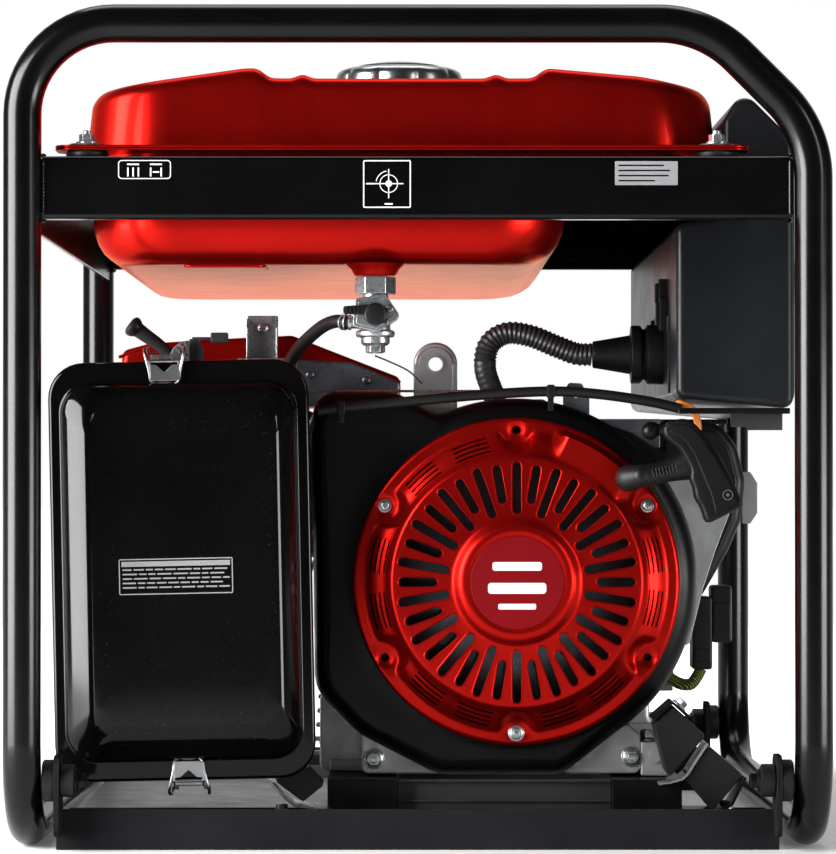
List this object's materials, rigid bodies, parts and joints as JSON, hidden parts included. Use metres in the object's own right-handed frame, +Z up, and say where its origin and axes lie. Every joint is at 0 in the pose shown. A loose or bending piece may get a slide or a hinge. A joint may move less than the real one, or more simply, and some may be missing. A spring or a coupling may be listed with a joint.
{
  "type": "portable generator",
  "caption": "Open-frame portable petrol generator: tube frame, red fuel tank, recoil-start engine with side air filter, alternator and side control box.",
  "frame": {"origin": "on the ground under the middle of the frame's outer box", "axes": "+Z up, -Y is the recoil starter's end, +X is the control box's side"},
  "size_m": [0.552, 0.6904, 0.564],
  "materials": {
    "gloss_black": "gloss black paint",
    "satin_black": "satin black paint",
    "red_paint": "gloss red paint",
    "rubber": "matt black rubber",
    "chrome": "bright plating",
    "zinc": "zinc plated steel",
    "aluminium": "as cast",
    "steel": "plain steel",
    "copper": "lacquered windings on a steel core",
    "black_plastic": "moulded, fine grain",
    "grey_plastic": "moulded",
    "filter_paper": "pleated"
  },
  "bodies": {
    "root": {"front_loop": "gloss_black", "rear_loop": "gloss_black", "front_crossbar": "gloss_black", "rear_crossbar": "gloss_black", "left_side_rail": "gloss_black", "front_base_member": "gloss_black", "rear_base_member": "gloss_black", "isolator_front_left": "rubber", "isolator_front_right": "rubber", "isolator_rear_left": "rubber", "isolator_rear_right": "rubber", "engine_rail_left": "satin_black", "engine_rail_right": "satin_black", "engine_mount_left": "rubber", "engine_mount_right": "rubber", "tank_upper_shell": "red_paint", "tank_lower_shell": "red_paint", "tank_bolt_front_left": "rubber", "tank_bolt_front_right": "rubber", "tank_bolt_rear_left": "rubber", "tank_bolt_rear_right": "rubber", "fuel_gauge": "black_plastic", "fuel_tap_body": "aluminium", "fuel_hose": "rubber", "air_filter_case": "gloss_black", "air_filter_cover": "gloss_black", "air_filter_element": "filter_paper", "carburettor": "aluminium", "crankcase": "aluminium", "cylinder_head": "aluminium", "fan_shroud": "satin_black", "recoil_cover": "red_paint", "engine_cowl": "red_paint", "muffler": "steel", "spark_plug_cap": "black_plastic", "lifting_lug": "zinc", "switch_box": "black_plastic", "alternator_stator": "steel", "alternator_end_bell": "aluminium", "control_box": "satin_black", "control_panel": "satin_black", "harness_cable": "rubber", "conduit": "rubber", "conduit_boot": "rubber"},
    "crank": {"crankshaft": "steel", "flywheel_fan": "steel", "alternator_rotor": "copper"},
    "piston": {"piston": "aluminium"},
    "reel": {"recoil_reel": "black_plastic"},
    "handle": {"starter_handle": "black_plastic"},
    "cap": {"filler_cap": "chrome"},
    "tap_lever": {"fuel_tap_lever": "black_plastic"},
    "choke": {"choke_lever": "black_plastic"},
    "latch_top": {"top_latch": "chrome"},
    "latch_bottom": {"bottom_latch": "chrome"},
    "oil_plug": {"oil_filler_plug": "grey_plastic"},
    "lid_front": {"socket_lid_front": "black_plastic"},
    "lid_rear": {"socket_lid_rear": "black_plastic"},
    "breaker": {"breaker_lever": "black_plastic"},
    "key": {"engine_switch": "black_plastic"}
  },
  "joints": [
    {"name": "crank_turn", "type": "hinge", "parent": "root", "child": "crank", "pos_m": [0.068, 0, 0.1773], "axis": [0, 1, 0], "continuous": true},
    {"name": "piston_stroke", "type": "slide", "parent": "root", "child": "piston", "axis": [-0.9063, 0, 0.4226], "range_m": [-0.066, 0]},
    {"name": "handle_pull", "type": "slide", "parent": "root", "child": "handle", "axis": [0, -1, 0], "range_m": [0, 0.7], "stiffness_N_per_m": 20},
    {"name": "reel_turn", "type": "hinge", "parent": "root", "child": "reel", "pos_m": [0.068, -0.2325, 0.1773], "axis": [0, 1, 0], "continuous": true},
    {"name": "cap_lift", "type": "slide", "parent": "root", "child": "cap", "axis": [0, 0, 1], "range_m": [0, 0.06]},
    {"name": "fuel_tap_turn", "type": "hinge", "parent": "root", "child": "tap_lever", "pos_m": [-0.0277, -0.2725, 0.3595], "axis": [0, 1, 0], "range_deg": [-90, 0]},
    {"name": "choke_turn", "type": "hinge", "parent": "root", "child": "choke", "pos_m": [-0.15, -0.168, 0.294], "axis": [0, 1, 0], "range_deg": [-35, 0]},
    {"name": "top_latch_open", "type": "hinge", "parent": "root", "child": "latch_top", "pos_m": [-0.17172, -0.253, 0.33479], "axis": [0.9998, 0, 0.0209], "range_deg": [-100, 0]},
    {"name": "bottom_latch_open", "type": "hinge", "parent": "root", "child": "latch_bottom", "pos_m": [-0.15458, -0.253, 0.03708], "axis": [0.9998, 0, 0.0209], "range_deg": [0, 30]},
    {"name": "oil_plug_turn", "type": "hinge", "parent": "root", "child": "oil_plug", "pos_m": [0.1653, -0.06, 0.105], "axis": [1, 0, 0], "range_deg": [0, 360]},
    {"name": "front_lid_open", "type": "hinge", "parent": "root", "child": "lid_front", "pos_m": [0.268, -0.1, 0.416], "axis": [0, -1, 0], "range_deg": [0, 105], "stiffness_Nm_per_rad": 0.02},
    {"name": "rear_lid_open", "type": "hinge", "parent": "root", "child": "lid_rear", "pos_m": [0.268, -0.02, 0.416], "axis": [0, -1, 0], "range_deg": [0, 105], "stiffness_Nm_per_rad": 0.02},
    {"name": "breaker_toggle", "type": "hinge", "parent": "root", "child": "breaker", "pos_m": [0.2685, 0.09, 0.385], "axis": [0, 1, 0], "range_deg": [-20, 20]},
    {"name": "engine_switch_turn", "type": "hinge", "parent": "root", "child": "key", "pos_m": [0.2643, -0.19, 0.385], "axis": [1, 0, 0], "range_deg": [0, 60]}
  ],
  "couplings": [
    {"joint": "reel_turn", "follows": "handle_pull", "rad_per_m": 26.667}
  ]
}
